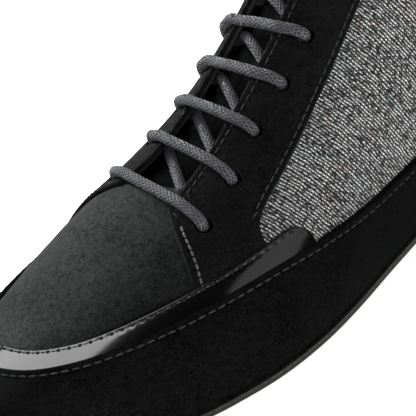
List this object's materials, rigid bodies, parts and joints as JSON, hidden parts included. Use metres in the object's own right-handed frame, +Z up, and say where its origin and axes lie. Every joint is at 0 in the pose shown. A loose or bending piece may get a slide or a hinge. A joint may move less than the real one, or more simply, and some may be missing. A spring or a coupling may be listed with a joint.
{
  "type": "dance sneaker",
  "caption": "Low suede dance sneaker with a lasted hollow upper, glossy toe strip, lace facings, tongue, thin leather sole and low heel.",
  "frame": {"origin": "floor point under the middle of the shoe's box", "axes": "+X along the sole towards the toe, +Y towards the outer side of the foot, +Z up"},
  "size_m": [0.2724, 0.0934, 0.0953],
  "materials": {
    "outsole": "matt",
    "heel": "matt",
    "insole": "matt",
    "upper": "suede vamp and glitter cloth quarters",
    "rand": "suede",
    "toe_strip": "patent gloss",
    "facing_lateral": "suede",
    "facing_medial": "suede",
    "tongue": "matt",
    "lace": "braided"
  },
  "bodies": {
    "root": {"outsole": "outsole", "heel": "heel", "insole": "insole", "upper": "upper", "rand": "rand", "toe_strip": "toe_strip", "facing_lateral": "facing_lateral", "facing_medial": "facing_medial", "tongue": "tongue", "lace": "lace"}
  },
  "joints": []
}
